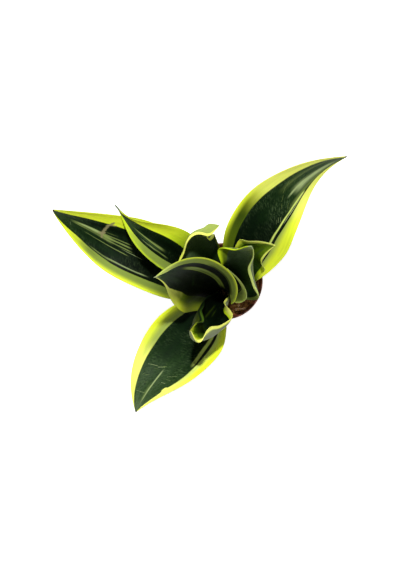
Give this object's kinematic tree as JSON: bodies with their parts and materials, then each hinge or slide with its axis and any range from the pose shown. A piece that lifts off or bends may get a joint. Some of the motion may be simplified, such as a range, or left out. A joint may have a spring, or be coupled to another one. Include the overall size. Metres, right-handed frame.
{
  "type": "potted snake plant",
  "caption": "Snake plant with dark, yellow-edged, channelled leaves spreading from one crown in a thin round brown nursery pot",
  "frame": {"origin": "middle of the pot's flat base, on the surface that it stands on", "axes": "+Z up out of the pot; +X right and +Y up in the picture, which looks straight down"},
  "size_m": [0.3075, 0.2674, 0.2548],
  "materials": {
    "pot_plastic": "thin satin brown plastic",
    "soil": "dark granular peat-like potting soil with pale chips",
    "rhizome": "matte, fleshy",
    "leaf": "smooth waxy leaf, dark green with yellow margins"
  },
  "bodies": {
    "root": {"pot": "pot_plastic", "soil": "soil", "rhizome": "rhizome", "leaf_wavy": "leaf", "leaf_cup": "leaf", "leaf_sheath": "leaf", "leaf_broad": "leaf", "leaf_southwest": "leaf", "leaf_hooded": "leaf", "leaf_behind": "leaf", "leaf_northwest": "leaf", "leaf_northeast": "leaf", "leaf_west": "leaf"}
  },
  "joints": []
}
